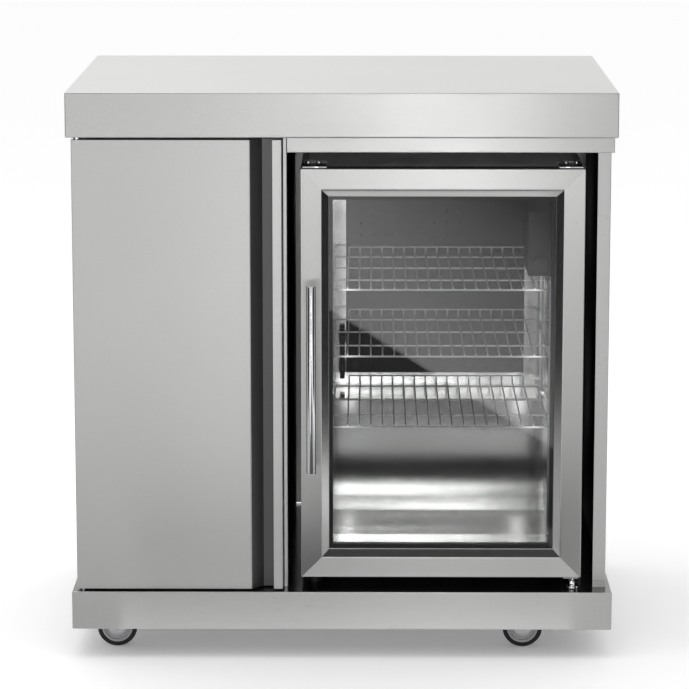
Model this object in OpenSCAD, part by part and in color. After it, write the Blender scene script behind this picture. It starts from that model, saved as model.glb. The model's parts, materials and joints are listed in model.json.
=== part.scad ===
// Outdoor kitchen cabinet module: a stainless cupboard and a glass-door refrigerator under one
// countertop, on four swivel casters. Millimetres, +Z up, front faces -Y.
// Depths are measured back from the countertop's front face, and turned into Y by yf().

/* [Countertop] */
// Width of the countertop and of the base
top_w = 832; // [820:1:1100]
// Depth of the countertop and of the base
top_d = 600; // [560:1:720]
// Height of the countertop's folded edge
top_h = 68.5; // [40:0.5:100]
// How far the countertop stands past the cabinet body on every side
overhang = 8; // [4:0.5:14]
// Width of the countertop's return flange along the front
top_return = 45; // [34:1:70]
// Depth of the stiffening channels under the top
stiffener_h = 16; // [8:1:25]

/* [Cabinet] */
// Thickness of the cabinet's steel sheet
sheet_t = 1.2; // [0.8:0.1:2]
// Height of the cabinet body between base and countertop
body_h = 702.5; // [685:0.5:850]
// Clear width of the refrigerator bay
bay_w = 471; // [455:1:500]
// Width of the right front post
post_w = 20; // [12:1:30]
// Width of the divider's folded front edge
divider_w = 7.4; // [5:0.1:14]
// Height of the header rail above the bay
header_h = 23; // [14:0.5:24]
// How far the header rail runs past the body on the right
header_past = 3; // [0:0.5:6]
// Width of the flanges folded on the panels
flange_w = 20; // [12:1:30]
// Height of the storage shelf above the base
shelf_up = 330; // [150:1:500]
// Height of the storage shelf's folded edge
shelf_lip = 20; // [10:1:30]

/* [Storage door] */
// Thickness of the storage door
sdoor_t = 24; // [22:0.5:30]
// Gap under the storage door
sdoor_gap_low = 3; // [2:0.1:6]
// Gap over the storage door
sdoor_gap_top = 4.1; // [2:0.1:6]
// Gap behind the storage door
sdoor_gap_rear = 4; // [3:0.5:8]
// Width of the lip that the hand pulls
lip_w = 14.2; // [10:0.1:22]
// Width of the open mouth of the pull channel
mouth_w = 34; // [28:0.5:45]
// Width of the slope that leads into the channel
slope_w = 18; // [10:0.5:24]
// How far the channel's rear lies in front of the door's rear
channel_set = 3; // [2:0.5:6]
// Distance of the pivot from the door's hinge edge
pivot_in = 8; // [7:0.5:12]
// Radius of the pivot pins
pivot_r = 3; // [2:0.25:4]

/* [Base and casters] */
// Height of the base tray
base_h = 59.5; // [45:0.5:75]
// Height of the beams between the tray and the casters' top plates
beam_h = 19.8; // [12:0.1:30]
// Diameter of the caster wheels
wheel_d = 62; // [50:1:75]
// Width of the caster wheels
wheel_w = 20; // [14:1:26]
// How far each wheel trails its swivel axis
trail = 35; // [20:1:38]
// Distance of the swivel axes from the ends of the base
swivel_in = 99; // [85:1:160]
// Distance of the swivel axes from the front and the back of the base
swivel_deep = 80; // [76:1:140]
// Radius of the wheel hubs
hub_r = 24.4; // [18:0.1:25]

/* [Refrigerator body] */
// Width of the refrigerator
fridge_w = 430; // [415:1:440]
// Height of the refrigerator's body
fridge_h = 632; // [600:1:636]
// Depth of the refrigerator's body behind its gasket
fridge_d = 450; // [430:1:460]
// Height of the refrigerator above the base
fridge_up = 22; // [20:0.5:30]
// Thickness of the side walls
wall_side = 41; // [30:0.5:45]
// Thickness of the floor
wall_floor = 27; // [24:0.5:40]
// Thickness of the ceiling
wall_top = 35; // [25:0.5:45]
// Thickness of the rear wall
wall_rear = 36; // [25:0.5:45]
// Height of the compressor step above the refrigerator's floor
step_h = 185; // [160:1:200]
// Depth of the compressor step in the rear of the compartment
step_d = 120; // [105:1:135]
// Foam between the step and the machine room
step_wall = 25; // [15:1:30]

/* [Refrigerator door] */
// Thickness of the door without its gasket
fdoor_t = 36; // [34:0.5:44]
// Height of the door
fdoor_h = 633; // [600:1:633]
// Width of the flat face of the frame
face_w = 31.5; // [24:0.5:40]
// Width of the bevel between face and glass
bevel_w = 11.8; // [6:0.1:16]
// Depth of the bevel
bevel_d = 8.5; // [4:0.5:9]
// Thickness of the gasket
gasket_t = 6; // [4:0.5:10]
// Thickness of each glass pane
pane_t = 4; // [3:0.5:5]
// Air gap between the panes
pane_gap = 12; // [8:0.5:14]
// Radius of the handle bar
handle_r = 7.25; // [5:0.25:10]
// Length of the handle bar
handle_l = 289; // [150:1:450]
// Distance of the bar's axis from the door face
handle_off = 36; // [30:0.5:50]
// Distance of the bar's axis from the door's edge
handle_in = 16.5; // [12:0.5:24]
// Height of the bar's middle above the door's bottom
handle_up = 315.5; // [250:0.5:400]
// Distance of each post from the end of the bar
post_in = 32; // [15:1:60]
// Radius of the hinge pins
hinge_r = 4; // [3:0.25:5]
// Distance of the hinge axis from the door's right edge
hinge_in = 12; // [10:0.5:16]

/* [Refrigerator inside] */
// Heights of the three wire shelves above the compartment's floor
shelf_lvls = [195.4, 306.5, 410.6];
// Radius of the shelf wires
wire_r = 1.3; // [1:0.1:2]
// Number of wires that run front to back
wire_n = 17; // [9:2:21]
// Spacing of the wires that run front to back
wire_p = 18; // [14:0.5:19]
// Free space at each side of a shelf
shelf_side = 6; // [5:0.5:10]
// Distance of a shelf's front wire behind the refrigerator's front
shelf_front = 25; // [23:1:40]
// Height of the raised wire at the rear of a shelf
shelf_rise = 13; // [8:1:25]
// Depth of the evaporator cover
cover_d = 28; // [24:1:40]
// Spacing of the holes in the shelf tracks
track_p = 12.8; // [10:0.2:20]

/* [Hidden] */
fit = 0.1;
run_gap = 0.05;
free_gap = 0.3;
big = 0.5;
smooth = 48;

caster_rise = 23;
front_y = -(top_d - (handle_off + handle_r - overhang)) / 2;
plate_z = wheel_d + caster_rise;
base_top = plate_z + beam_h + sheet_t;
base_up = base_top - base_h;
body_top = base_top + body_h;
total_h = body_top + top_h;
body_x = top_w / 2 - overhang;
bay_x1 = body_x - post_w;
bay_x0 = bay_x1 - bay_w;
div_x0 = bay_x0 - divider_w;
face_d = overhang;
frame_d = face_d + sdoor_t + sdoor_gap_rear;
rear_d = top_d - overhang;

sd_x0 = -body_x;
sd_x1 = div_x0;
sd_z0 = base_top + sdoor_gap_low;
sd_z1 = body_top - sdoor_gap_top;
mouth_x = sd_x1 - lip_w - mouth_w;
channel_d = face_d + sdoor_t - channel_set;
pivot_x = sd_x0 + pivot_in;
pivot_d = face_d + sdoor_t / 2;
washer_r = 7;
bush_r = pivot_in - sheet_t - free_gap;
bush_h = 8;
pin_in = 11;

fx0 = (bay_x0 + bay_x1 - fridge_w) / 2;
fx1 = fx0 + fridge_w;
fz0 = base_top + fridge_up;
fz1 = fz0 + fridge_h;
ff_d = face_d + fdoor_t + gasket_t;
fr_d = ff_d + fridge_d;
lx0 = fx0 + wall_side;
lx1 = fx1 - wall_side;
lz0 = fz0 + wall_floor;
lz1 = fz1 - wall_top;
lr_d = fr_d - wall_rear;
st_z = lz0 + step_h;
st_d = lr_d - step_d;
room_z = st_z - step_wall;
room_d = st_d + step_wall;
cabin_x = (lx0 + lx1) / 2;

fd_z0 = fz0;
fd_z1 = fz0 + fdoor_h;
fd_back = face_d + fdoor_t;
rail_w = face_w + bevel_w;
glass_u = rail_w - 8.5;
glass_d = face_d + bevel_d + 2.1;
pane2_d = glass_d + pane_t + pane_gap;
lip_d = pane2_d + pane_t + fit;
seam = 0.1;
hinge_x = fx1 - hinge_in;
hinge_d = face_d + fdoor_t / 2;
hinge_deep = 13;
plate_t = 2.6;
bar_x = fx0 + handle_in;
bar_z = fd_z0 + handle_up;
bar_d = face_d - handle_off;

wheel_r = wheel_d / 2;
axle_r = 3;
leg_t = 3;
leg_gap = 1.5;
crown_z = wheel_d + 8;
crown_t = 3;
king_r = 5;
race_r = 17;
plate_half = [30, 26];
swivel_x = top_w / 2 - swivel_in;
swivel_front = swivel_deep;
swivel_rear = top_d - swivel_deep;

cover_x0 = lx0 + 25;
cover_x1 = lx1 - 29;
cover_z0 = st_z + 27;
cover_f = lr_d - cover_d;
plug_r = 6;
bulb_r = 4.2;
bulb_x = cover_x0 - bulb_r - 2;
bulb_d = cover_f + 4;
bulb_zs = [st_z + 16, st_z + 100];
box_x0 = lx1 - 36;
box_d0 = ff_d + 120;
box_d1 = box_d0 + 150;
box_z0 = lz0 + max(shelf_lvls) + 6.4;
box_z1 = box_z0 + 102;
knob_z = box_z0 + 18;
lens_z = box_z0 + 88;
lens_r = 11;
knob_x = (box_x0 + lx1) / 2;
knob_r = 12;
knob_h = 11;
plugs = [
    [cover_x0 + 15, cover_z0 + 12],
    [cover_x1 - 12.5, cover_z0 + 12],
    [cover_x1 - 9.3, box_z0 + 40]
];
fan_x = cover_x0 + 104;
fan_z = lz1 - 85;
fan_r = 40;
cfan_x = fx0 + 232;
cfan_d = room_d + 66;
cfan_z = fz0 + 86;
cfan_r = 46;
track_ds = [ff_d + 132, ff_d + 350];
track_w = 16;
track_t = 2;
track_foot = 3;
track_slot = 6;
clip_w = 3.4;
clip_h = 4;
sh_x0 = lx0 + shelf_side;
sh_x1 = lx1 - shelf_side;
sh_d0 = ff_d + shelf_front;
sh_d1 = cover_f - 9;
cross_ds = [sh_d0, sh_d0 + 91, sh_d0 + 211, sh_d0 + 325];
foot_x = fx0 + 20;
foot_d = ff_d + 25;
split_x = bay_x0 - flange_w / 2;
vent_n = 9;
vent_w = 70;
vent_h = 6;
cable_r = 18;
cable_x = bay_x0 + 60;
cable_z = base_top + 60;

steel = [0.78, 0.78, 0.77];
dark = [0.12, 0.12, 0.13];
chrome = [0.88, 0.88, 0.9];

// ---- helpers -------------------------------------------------------------------------------

// Y of a depth behind the countertop's front face
function yf(d) = front_y + d;

// Left-hand normal of the stretch from a to b
function side_of(a, b) = [a[1] - b[1], b[0] - a[0]] / norm(b - a);

// Mitred copy of an open outline, moved sideways by t
function moved(p, t) = [
    for (i = [0 : len(p) - 1])
        let (a = side_of(p[max(i - 1, 0)], p[max(i, 1)]))
        let (b = side_of(p[min(i, len(p) - 2)], p[min(i + 1, len(p) - 1)]))
        p[i] + t * (a + b) / (1 + a * b)
];

// Section of a sheet folded along an open outline, with its thickness to the left of the outline
module folded(p, t = sheet_t) {
    q = moved(p, t);
    polygon(concat(p, [for (i = [len(q) - 1 : -1 : 0]) q[i]]));
}

// Box between two X values, two depths and two heights
module block(x, d, z) {
    translate([x[0], yf(d[0]), z[0]])
        cube([x[1] - x[0], d[1] - d[0], z[1] - z[0]]);
}

// Outline in X and depth, raised between two heights
module plan(z) {
    translate([0, front_y, z[0]])
        linear_extrude(z[1] - z[0])
            children();
}

// Outline in depth and Z, carried between two X values
module section(x) {
    translate([x[0], front_y, 0])
        rotate([90, 0, 90])
            linear_extrude(x[1] - x[0])
                children();
}

// Outline in X and Z, carried between two depths
module elevation(d) {
    translate([0, yf(d[1]), 0])
        rotate([90, 0, 0])
            linear_extrude(d[1] - d[0])
                children();
}

// Round bar along the depth
module rod_deep(x, z, d, r, fn = smooth) {
    translate([x, yf(d[0]), z])
        rotate([-90, 0, 0])
            cylinder(h = d[1] - d[0], r = r, $fn = fn);
}

// Round bar along X
module rod_wide(x, d, z, r, fn = smooth) {
    translate([x[0], yf(d), z])
        rotate([0, 90, 0])
            cylinder(h = x[1] - x[0], r = r, $fn = fn);
}

// Round bar along Z
module rod_high(x, d, z, r, fn = smooth) {
    translate([x, yf(d), z[0]])
        cylinder(h = z[1] - z[0], r = r, $fn = fn);
}

// ---- cabinet -------------------------------------------------------------------------------

// Folded tray, open below, with return flanges
module countertop() {
    color(steel)
        difference() {
            block([-top_w / 2, top_w / 2], [0, top_d], [body_top, total_h]);
            block(
                [-top_w / 2 + sheet_t, top_w / 2 - sheet_t],
                [sheet_t, top_d - sheet_t],
                [body_top + sheet_t, total_h - sheet_t]
            );
            block(
                [-top_w / 2 + flange_w, top_w / 2 - flange_w],
                [top_return, top_d - flange_w],
                [body_top - big, body_top + 2 * sheet_t]
            );
        }
}

// Three channels that hold the top sheet flat
module top_stiffeners() {
    z1 = total_h - sheet_t;
    z0 = z1 - stiffener_h;
    color(steel)
        for (x = [-top_w / 4, 0, top_w / 4])
            elevation([top_return, top_d - flange_w])
                folded([
                    [x - 45, z1],
                    [x - 30, z1],
                    [x - 30, z0],
                    [x + 30, z0],
                    [x + 30, z1],
                    [x + 45, z1]
                ], -sheet_t);
}

// Channel across the top of the refrigerator bay, with closed ends
module header_rail() {
    x1 = body_x + header_past;
    z0 = body_top - header_h;
    d0 = face_d + 1;
    color(steel) {
        section([bay_x0, x1])
            folded([[frame_d - fit, z0], [d0, z0], [d0, body_top], [frame_d - fit, body_top]], -sheet_t);
        block([bay_x0, bay_x0 + sheet_t], [d0, frame_d - fit], [z0, body_top]);
        block([x1 - sheet_t, x1], [d0, frame_d - fit], [z0, body_top]);
    }
}

// Side sheet with a flange at the front and one at the rear
module side_panel(s, front_w) {
    color(steel)
        plan([base_top, body_top])
            folded([
                [s * (body_x - front_w), frame_d],
                [s * body_x, frame_d],
                [s * body_x, rear_d],
                [s * (body_x - flange_w), rear_d]
            ], s * sheet_t);
}

module left_side_panel() {
    side_panel(-1, flange_w);
}

module right_side_panel() {
    side_panel(1, post_w);
}

// Sheet between cupboard and bay, with a folded front edge
module divider_panel() {
    color(steel)
        plan([base_top, body_top])
            folded([
                [div_x0, frame_d + 14],
                [div_x0, frame_d],
                [bay_x0, frame_d],
                [bay_x0, rear_d],
                [bay_x0 - flange_w, rear_d]
            ], sheet_t);
}

// Plain rear sheet of the cupboard, and vented rear sheet of the bay
module rear_panels() {
    z = [base_top + 3, body_top - 3];
    d = [rear_d, rear_d + sheet_t];
    color(steel) {
        block([-body_x + 4, split_x - 0.5], d, z);
        difference() {
            block([split_x + 0.5, body_x - 4], d, z);
            for (row = [0, 1])
                for (col = [0 : 3])
                    for (i = [0 : vent_n - 1])
                        elevation([d[0] - big, d[1] + big])
                            translate([
                                bay_x0 + 55 + col * (vent_w + 30),
                                base_top + 150 + row * 300 + i * vent_h * 2.6
                            ])
                                square([vent_w, vent_h]);
            rod_deep(cable_x, cable_z, [d[0] - big, d[1] + big], cable_r);
        }
    }
}

// Pan-head screws that hold the rear panels
module panel_screws() {
    color(chrome)
        for (x = [-body_x + 12, split_x - 5.5, split_x + 5.5, body_x - 12])
            for (i = [0 : 3])
                rod_deep(
                    x,
                    base_top + 20 + i * (body_h - 40) / 3,
                    [rear_d + sheet_t, rear_d + sheet_t + 2.2],
                    3.6,
                    24
                );
}

// Folded tray, open below, that carries the cabinet, with a tab at the foot of the right post
module base_tray() {
    rim = 10;
    color(steel) {
        block(
            [body_x - flange_w, body_x],
            [frame_d - fit - 1.2, frame_d - fit],
            [base_top - sheet_t, base_top + 10]
        );
        difference() {
            block([-top_w / 2, top_w / 2], [0, top_d], [base_up, base_top]);
            block(
                [-top_w / 2 + sheet_t, top_w / 2 - sheet_t],
                [sheet_t, top_d - sheet_t],
                [base_up + sheet_t, base_top - sheet_t]
            );
            block(
                [-top_w / 2 + rim, top_w / 2 - rim],
                [rim, top_d - rim],
                [base_up - big, base_up + 2 * sheet_t]
            );
        }
    }
}

// Channels across the underside of the tray that the casters bolt to
module caster_beams() {
    half = 38;
    z1 = base_top - sheet_t;
    color(steel)
        for (d = [swivel_front, swivel_rear])
            section([-top_w / 2 + sheet_t + 1, top_w / 2 - sheet_t - 1])
                folded([
                    [d - half - 12, z1],
                    [d - half, z1],
                    [d - half, plate_z + sheet_t],
                    [d + half, plate_z + sheet_t],
                    [d + half, z1],
                    [d + half + 12, z1]
                ], -sheet_t);
}

// Shelf of the cupboard, with folded edges
module storage_shelf() {
    x = [-body_x + sheet_t + fit, bay_x0 - sheet_t - fit];
    d = [frame_d + 18, rear_d - sheet_t - fit];
    z1 = base_top + shelf_up;
    color(steel)
        difference() {
            block(x, d, [z1 - shelf_lip, z1]);
            block(
                [x[0] + sheet_t, x[1] - sheet_t],
                [d[0] + sheet_t, d[1] - sheet_t],
                [z1 - shelf_lip - big, z1 - sheet_t]
            );
        }
}

// Pins with washers above and below the storage door
module door_pivots() {
    color(chrome) {
        rod_high(pivot_x, pivot_d, [base_top, sd_z0 - free_gap], washer_r);
        rod_high(pivot_x, pivot_d, [base_top, sd_z0 + pin_in], pivot_r);
        rod_high(pivot_x, pivot_d, [sd_z1 + free_gap, body_top], washer_r);
        rod_high(pivot_x, pivot_d, [sd_z1 - pin_in, body_top], pivot_r);
    }
}

// Magnet block on the divider that holds the storage door shut
module magnet_catch() {
    d0 = face_d + sdoor_t - 1.5;
    color(dark)
        block([div_x0 - 13, div_x0 - fit], [d0, frame_d + 12], [sd_z1 - 90, sd_z1 - 50]);
}

// Rubber ring that lines the cable outlet
module cable_grommet() {
    color(dark)
        difference() {
            union() {
                rod_deep(cable_x, cable_z, [rear_d - 2, rear_d + sheet_t + 2], cable_r - fit);
                rod_deep(cable_x, cable_z, [rear_d + sheet_t + fit, rear_d + sheet_t + 2], cable_r + 4);
                rod_deep(cable_x, cable_z, [rear_d - 2, rear_d - fit], cable_r + 4);
            }
            rod_deep(cable_x, cable_z, [rear_d - 3, rear_d + sheet_t + 3], cable_r - 4);
        }
}

// ---- storage door --------------------------------------------------------------------------

// Outer skin: hinge edge, face, slope, channel, and the lip that the hand pulls
module storage_door_skin() {
    color(steel)
        plan([sd_z0, sd_z1])
            folded([
                [sd_x0, face_d + sdoor_t],
                [sd_x0, face_d],
                [mouth_x, face_d],
                [mouth_x + slope_w, channel_d],
                [sd_x1 - sheet_t, channel_d],
                [sd_x1 - sheet_t, face_d + sheet_t],
                [sd_x1 - lip_w, face_d + sheet_t]
            ], sheet_t);
}

// Inner pan: rear sheet, with the caps that close the door's top and bottom
module storage_door_liner() {
    x0 = sd_x0 + sheet_t + fit;
    d0 = face_d + sheet_t + fit;
    d1 = face_d + sdoor_t;
    lean = slope_w / (channel_d - face_d);
    x_front = mouth_x - sheet_t;
    x_rear = x_front + (d1 - d0) * lean;
    outline = [[x0, d0], [x_front, d0], [x_rear, d1], [x0, d1]];
    color(steel)
        difference() {
            plan([sd_z0, sd_z1])
                polygon(outline);
            plan([sd_z0 + sheet_t, sd_z1 - sheet_t])
                polygon([
                    [x0 - big, d0 - big],
                    [mouth_x + slope_w, d0 - big],
                    [mouth_x + slope_w, d1 - sheet_t],
                    [x0 - big, d1 - sheet_t]
                ]);
            rod_high(pivot_x, pivot_d, [sd_z0 - 1, sd_z1 + 1], pivot_r + 1);
        }
}

// Bushes inside the door that turn on the pivot pins
module pivot_bushes() {
    color("white")
        difference() {
            union() {
                rod_high(pivot_x, pivot_d, [sd_z0 + sheet_t + fit, sd_z0 + sheet_t + bush_h], bush_r);
                rod_high(pivot_x, pivot_d, [sd_z1 - sheet_t - bush_h, sd_z1 - sheet_t - fit], bush_r);
            }
            rod_high(pivot_x, pivot_d, [sd_z0, sd_z1], pivot_r + run_gap);
        }
}

// ---- refrigerator body ---------------------------------------------------------------------

// Painted outer casing, open in front, with a machine room at the lower rear
module fridge_casing() {
    t = sheet_t;
    color(dark)
        difference() {
            block([fx0, fx1], [ff_d, fr_d], [fz0, fz1]);
            block([fx0 + t, fx1 - t], [ff_d - big, room_d - t], [fz0 + t, fz1 - t]);
            block([fx0 + t, fx1 - t], [ff_d - big, fr_d - t], [room_z + t, fz1 - t]);
            block([fx0 + t, fx1 - t], [room_d, fr_d + big], [fz0 - big, room_z]);
            rod_high(foot_x, foot_d, [fz0 - 1, fz0 + 2 * t], hinge_r + run_gap);
        }
}

// Outline of the inner compartment in depth and Z, grown by g
function cabin(g, front) = [
    [front, lz0 - g],
    [st_d + g, lz0 - g],
    [st_d + g, st_z - g],
    [lr_d + g, st_z - g],
    [lr_d + g, lz1 + g],
    [front, lz1 + g]
];

// Foam between casing and liner
module fridge_insulation() {
    t = sheet_t + fit;
    color([0.9, 0.85, 0.65])
        difference() {
            block([fx0 + t, fx1 - t], [ff_d + t, fr_d - t], [fz0 + t, fz1 - t]);
            block([fx0, fx1], [room_d - t, fr_d], [fz0, room_z + t]);
            section([lx0 - t, lx1 + t])
                polygon(cabin(t, ff_d));
            rod_high(foot_x, foot_d, [fz0, lz0 - t - 1], hinge_r + 2);
        }
}

// Polished inner liner with its front flange and the compressor step
module fridge_liner() {
    t = sheet_t;
    g = sheet_t + fit;
    color(chrome)
        difference() {
            union() {
                block([fx0 + g, fx1 - g], [ff_d, ff_d + t], [fz0 + g, fz1 - g]);
                section([lx0 - t, lx1 + t])
                    polygon(cabin(t, ff_d));
            }
            section([lx0, lx1])
                polygon(cabin(0, ff_d - big));
        }
}

// Ventilated cover over the evaporator
module evaporator_cover() {
    t = sheet_t;
    color([0.35, 0.35, 0.35])
        difference() {
            block([cover_x0, cover_x1], [cover_f, lr_d - fit], [cover_z0, lz1 - fit]);
            block([cover_x0 + t, cover_x1 - t], [cover_f + t, lr_d + big], [cover_z0 + t, lz1 - fit - t]);
            for (row = [0 : 2])
                for (col = [0 : 8])
                    rod_deep(
                        fan_x - 80 + col * 20,
                        fan_z - 4 - row * 19.5,
                        [cover_f - big, cover_f + t + big],
                        2.2,
                        6
                    );
            for (row = [0, 1])
                block(
                    [cover_x1 - 50, cover_x1 - 6],
                    [cover_f - big, cover_f + t + big],
                    [fan_z - 71 - row * 32, fan_z - 67 - row * 32]
                );
            for (p = plugs)
                rod_deep(p[0], p[1], [cover_f - big, cover_f + t + big], plug_r / 2);
        }
}

// Push-in plugs that hold the cover to the liner
module cover_plugs() {
    color(dark)
        for (p = plugs) {
            rod_deep(p[0], p[1], [cover_f - 2.5, cover_f - fit], plug_r);
            rod_deep(p[0], p[1], [cover_f - 1, cover_f + sheet_t + 2], plug_r / 2 - fit);
        }
}

// Sensing bulb upright beside the cover, in two clips on the liner's rear wall
module thermostat_bulb() {
    rim = 1.5;
    color(dark) {
        rod_high(bulb_x, bulb_d, bulb_zs, bulb_r);
        for (z = [bulb_zs[0] + 12, bulb_zs[1] - 22])
            block(
                [bulb_x - bulb_r - rim, bulb_x + bulb_r + rim],
                [bulb_d - bulb_r - rim, lr_d - fit],
                [z, z + 10]
            );
    }
}

// Flattened serpentine tube on its plate, behind the cover
module evaporator_coil() {
    rows = 7;
    pitch = 28;
    half = 3.5;
    x = [cover_x0 + 30, cover_x1 - 30];
    z0 = cover_z0 + 14;
    plate_d = lr_d - 4;
    color([0.75, 0.76, 0.78]) {
        block([x[0] - 18, x[1] + 18], [plate_d, lr_d - fit], [z0 - 8, z0 + (rows - 1) * pitch + 8]);
        elevation([plate_d - 6, plate_d]) {
            for (i = [0 : rows - 1])
                translate([x[0], z0 + i * pitch - half])
                    square([x[1] - x[0], 2 * half]);
            for (i = [0 : rows - 2])
                translate([x[(i + 1) % 2], z0 + (i + 0.5) * pitch])
                    half_ring(pitch / 2, half, i % 2 == 0 ? 1 : -1);
        }
    }
}

// Half ring of middle radius r and half width w, open towards -X or +X
module half_ring(r, w, s) {
    difference() {
        circle(r = r + w, $fn = smooth);
        circle(r = r - w, $fn = smooth);
        translate([s > 0 ? -2 * r : 0, -2 * r])
            square([2 * r, 4 * r]);
    }
}

// Thermostat and lamp housing on the right wall, with its spindle
module control_box() {
    color(dark)
        union() {
            block([box_x0, lx1 - fit], [box_d0, box_d1], [box_z0, box_z1]);
            rod_deep(knob_x, knob_z, [box_d0 - knob_h + 2, box_d0 + 1], axle_r);
            intersection() {
                rod_deep(knob_x, lens_z, [box_d0 - 2, box_d0 + 1], lens_r);
                block([box_x0, lx1], [box_d0 - 3, box_d0 + 2], [lens_z - lens_r / 2, box_z1]);
            }
        }
}

// Slotted tracks on the side walls, with the clips that the shelves slide on
module shelf_tracks() {
    color(steel)
        for (s = [0, 1])
            translate([cabin_x, 0, 0])
                mirror([s, 0, 0]) {
                    track_with_clips(track_ds[0], lz0 + track_foot);
                    track_with_clips(track_ds[1], st_z + track_foot);
                }
}

// One track at depth d: a strip with square slots, and a clip under each shelf
module track_with_clips(d, z0) {
    wall = (lx1 - lx0) / 2 - fit;
    clip_top = wire_r + free_gap;
    z1 = box_z0 - track_foot;
    slots = floor((z1 - z0 - 2 * track_slot) / track_p);
    span = [d - track_w / 2, d + track_w / 2];
    difference() {
        block([wall - track_t, wall], span, [z0, z1]);
        for (i = [0 : slots])
            block(
                [wall - track_t - big, wall + big],
                [d - track_slot / 3, d + track_slot / 3],
                [z0 + (i + 0.5) * track_p, z0 + (i + 0.5) * track_p + track_slot]
            );
    }
    for (lvl = shelf_lvls)
        block(
            [wall - track_t - clip_w, wall - track_t],
            span,
            [lz0 + lvl - clip_top - clip_h, lz0 + lvl - clip_top]
        );
}

// Plates on the casing's front corners: the right one carries the upper hinge pin
module top_hinge_plates() {
    z0 = fd_z1 + free_gap;
    z1 = z0 + plate_t;
    half = (fx1 - fx0) / 2;
    x = [half - 40, half - 3];
    color(chrome) {
        for (s = [0, 1])
            translate([cabin_x, 0, 0])
                mirror([s, 0, 0])
                    difference() {
                        union() {
                            block(x, [hinge_d - 12, ff_d + 40], [z0, z1]);
                            block(x, [ff_d + 2, ff_d + 40], [fz1, z1]);
                            for (bolt = [x[0] + 13, x[1] - 8])
                                rod_high(bolt, ff_d + 12, [z1 - big, z1 + 2.4], 4, 24);
                        }
                        plan([fz1 - big, z1 + big])
                            polygon([
                                [x[0] + 11, ff_d + 18], [x[0] + 14, ff_d + 20],
                                [x[0] + 7, ff_d + 35], [x[0] + 4, ff_d + 33]
                            ]);
                    }
        rod_high(hinge_x, hinge_d, [fd_z1 - hinge_deep, z1], hinge_r);
    }
}

// Plate under the door with a hollow pin, which takes the right foot's screw
module lower_hinge_plate() {
    z1 = fd_z0 - free_gap;
    z0 = z1 - 3;
    color(steel)
        difference() {
            union() {
                block([hinge_x - 14, hinge_x + 9], [hinge_d - 12, ff_d + 45], [z0, z1]);
                block([hinge_x - 14, hinge_x + 9], [ff_d + 2, ff_d + 45], [z0, fz0]);
                rod_high(hinge_x, hinge_d, [z0, fd_z0 + hinge_deep], hinge_r);
            }
            rod_high(hinge_x, hinge_d, [z0 - 1, fd_z0 + hinge_deep - 2], 2.5 + run_gap);
        }
}

// Hermetic compressor on rubber mounts
module compressor() {
    x = fx0 + 110;
    d = room_d + 64;
    z0 = fz0 + 2;
    r = 52;
    color(dark) {
        for (a = [-1, 1])
            for (b = [-1, 1])
                rod_high(x + a * 62, d + b * 36, [z0, z0 + 12], 8, 24);
        block([x - 74, x + 74], [d - 46, d + 46], [z0 + 12, z0 + 15]);
        rod_high(x, d, [z0 + 14, z0 + 96], r);
        translate([x, yf(d), z0 + 96])
            intersection() {
                sphere(r = r, $fn = smooth);
                cylinder(h = r, r = r, $fn = smooth);
            }
    }
}

// Floor of the machine room, with the two fixed rear feet
module machine_base() {
    t = sheet_t + fit;
    color(steel) {
        block([fx0 + t, fx1 - t], [room_d + fit, fr_d - 2 * t], [fz0, fz0 + 2]);
        for (x = [fx0 + 22, fx1 - 22])
            rod_high(x, fr_d - 22, [base_top, fz0 + 1], 12, 32);
    }
}

// Finned condenser beside its fan
module condenser_coil() {
    fins = 11;
    pitch = 7;
    x0 = cfan_x + 22;
    d = [room_d + 16, fr_d - 14];
    z = [fz0 + 2, fz0 + 150];
    color([0.7, 0.5, 0.35])
        union() {
            for (i = [0 : fins - 1])
                block([x0 + i * pitch, x0 + i * pitch + 1], d, z);
            for (k = [0 : 3])
                for (e = [d[0] + 22, d[1] - 22])
                    rod_wide([x0 - 6, x0 + (fins - 1) * pitch + 7], e, z[0] + 22 + k * 34, 4, 24);
        }
}

// Slotted sheet that closes the machine room
module rear_grille() {
    t = sheet_t;
    g = t + fit;
    color(dark)
        difference() {
            block([fx0 + g, fx1 - g], [fr_d - t, fr_d], [fz0 + fit, room_z - fit]);
            for (i = [0 : 11])
                block(
                    [fx0 + 30, fx1 - 30],
                    [fr_d - t - big, fr_d + big],
                    [fz0 + 22 + i * 12, fz0 + 28 + i * 12]
                );
        }
}

// Motors of the two fans, with their brackets and shafts
module fan_motors() {
    color(dark) {
        rod_deep(fan_x, fan_z, [cover_f + 17, lr_d - fit], 16);
        rod_deep(fan_x, fan_z, [cover_f + 4, cover_f + 18], axle_r);
        block([fan_x - 30, fan_x + 30], [lr_d - 4, lr_d - fit], [fan_z - 12, fan_z + 12]);
        rod_wide([cfan_x - 34, cfan_x - 7], cfan_d, cfan_z, 20);
        rod_wide([cfan_x - 8, cfan_x + 8], cfan_d, cfan_z, axle_r);
        block([cfan_x - 30, cfan_x - 12], [cfan_d - 8, cfan_d + 8], [fz0 + 2, cfan_z]);
    }
}

// Fan wheel about +Z: hub, five pitched blades and a bore
module fan_wheel(r, h, blades) {
    difference() {
        union() {
            cylinder(h = h, r = r * 0.3, $fn = smooth);
            intersection() {
                cylinder(h = h, r = r, $fn = smooth);
                for (i = [0 : blades - 1])
                    rotate([0, 0, i * 360 / blades])
                        translate([r * 0.2, 0, h / 2])
                            rotate([32, 0, 0])
                                translate([0, -r * 0.3, -0.8])
                                    cube([r, r * 0.6, 1.6]);
            }
        }
        translate([0, 0, -1])
            cylinder(h = h + 2, r = axle_r + run_gap, $fn = smooth);
    }
}

module evaporator_fan() {
    color("dimgray")
        translate([fan_x, yf(cover_f + 5), fan_z])
            rotate([-90, 0, 0])
                fan_wheel(fan_r, 10, 7);
}

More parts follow.
